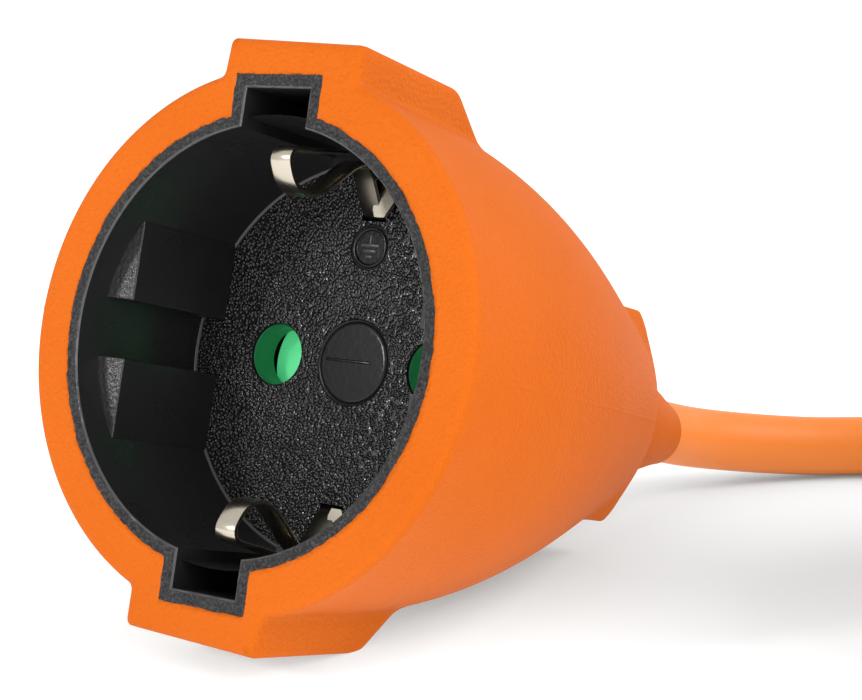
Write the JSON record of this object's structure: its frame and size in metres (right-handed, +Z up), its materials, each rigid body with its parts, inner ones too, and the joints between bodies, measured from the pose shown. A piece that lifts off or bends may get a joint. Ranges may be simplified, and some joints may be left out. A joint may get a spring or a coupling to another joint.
{
  "type": "extension cord",
  "caption": "Extension cord with an orange moulded Schuko coupler socket, sprung earth clips and safety shutter, a tied coil of round orange cord and a moulded plug.",
  "frame": {"origin": "on the floor under the middle of the coupler, without its cord and plug", "axes": "-Y is the way the socket faces, +Y runs back towards the cord, +X is along the pins to the coil's side, +Z up"},
  "size_m": [0.1806, 0.128, 0.0736],
  "materials": {
    "body_orange": "fine matte grain, as soft PVC",
    "cord_orange": "smooth, semi-gloss sheath",
    "insert_black": "glossy walls, pebbled floor, rough rim",
    "shutter_green": "satin moulded",
    "carrier_grey": "matte moulded",
    "clip_nickel": "nickel plate",
    "contact_brass": "bright",
    "spring_steel": "bright wire",
    "core_brown": "smooth",
    "core_blue": "smooth",
    "core_green_yellow": "smooth, striped",
    "plug_black": "satin moulded",
    "tie_strap": "woven hook-and-loop strap"
  },
  "bodies": {
    "cord_set": {"outer_sleeve": "body_orange", "socket_insert": "insert_black", "shutter_cage": "shutter_green", "shutter_spring": "spring_steel", "contact_carrier": "carrier_grey", "live_contact": "contact_brass", "neutral_contact": "contact_brass", "earth_bracket": "contact_brass", "live_core": "core_brown", "neutral_core": "core_blue", "earth_core": "core_green_yellow", "strain_relief": "body_orange", "cord_lead": "cord_orange", "cord_coil": "cord_orange", "cord_tail": "cord_orange", "coil_tie": "tie_strap", "plug_body": "body_orange", "plug_face": "plug_black", "plug_live_pin": "clip_nickel", "plug_neutral_pin": "clip_nickel", "plug_earth_strip_upper": "clip_nickel", "plug_earth_strip_lower": "clip_nickel", "plug_earth_socket": "contact_brass", "plug_live_core": "core_brown", "plug_neutral_core": "core_blue", "plug_earth_core": "core_green_yellow", "plug_strain_relief": "body_orange"},
    "shutter": {"shutter_disc": "shutter_green"},
    "clip_upper": {"earth_clip_upper": "clip_nickel"},
    "clip_lower": {"earth_clip_lower": "clip_nickel"}
  },
  "joints": [
    {"name": "shutter_turn", "type": "hinge", "parent": "cord_set", "child": "shutter", "pos_m": [0, -0.01486, 0.0242], "axis": [0, -0.9677, 0.2521], "range_deg": [0, 40], "stiffness_Nm_per_rad": 0.01},
    {"name": "earth_clip_upper_flex", "type": "hinge", "parent": "cord_set", "child": "clip_upper", "pos_m": [0, -0.00392, 0.03603], "axis": [-1, 0, 0], "range_deg": [0, 3], "stiffness_Nm_per_rad": 1.5},
    {"name": "earth_clip_lower_flex", "type": "hinge", "parent": "cord_set", "child": "clip_lower", "pos_m": [0, -0.01108, 0.00854], "axis": [1, 0, 0], "range_deg": [0, 3], "stiffness_Nm_per_rad": 1.5}
  ]
}
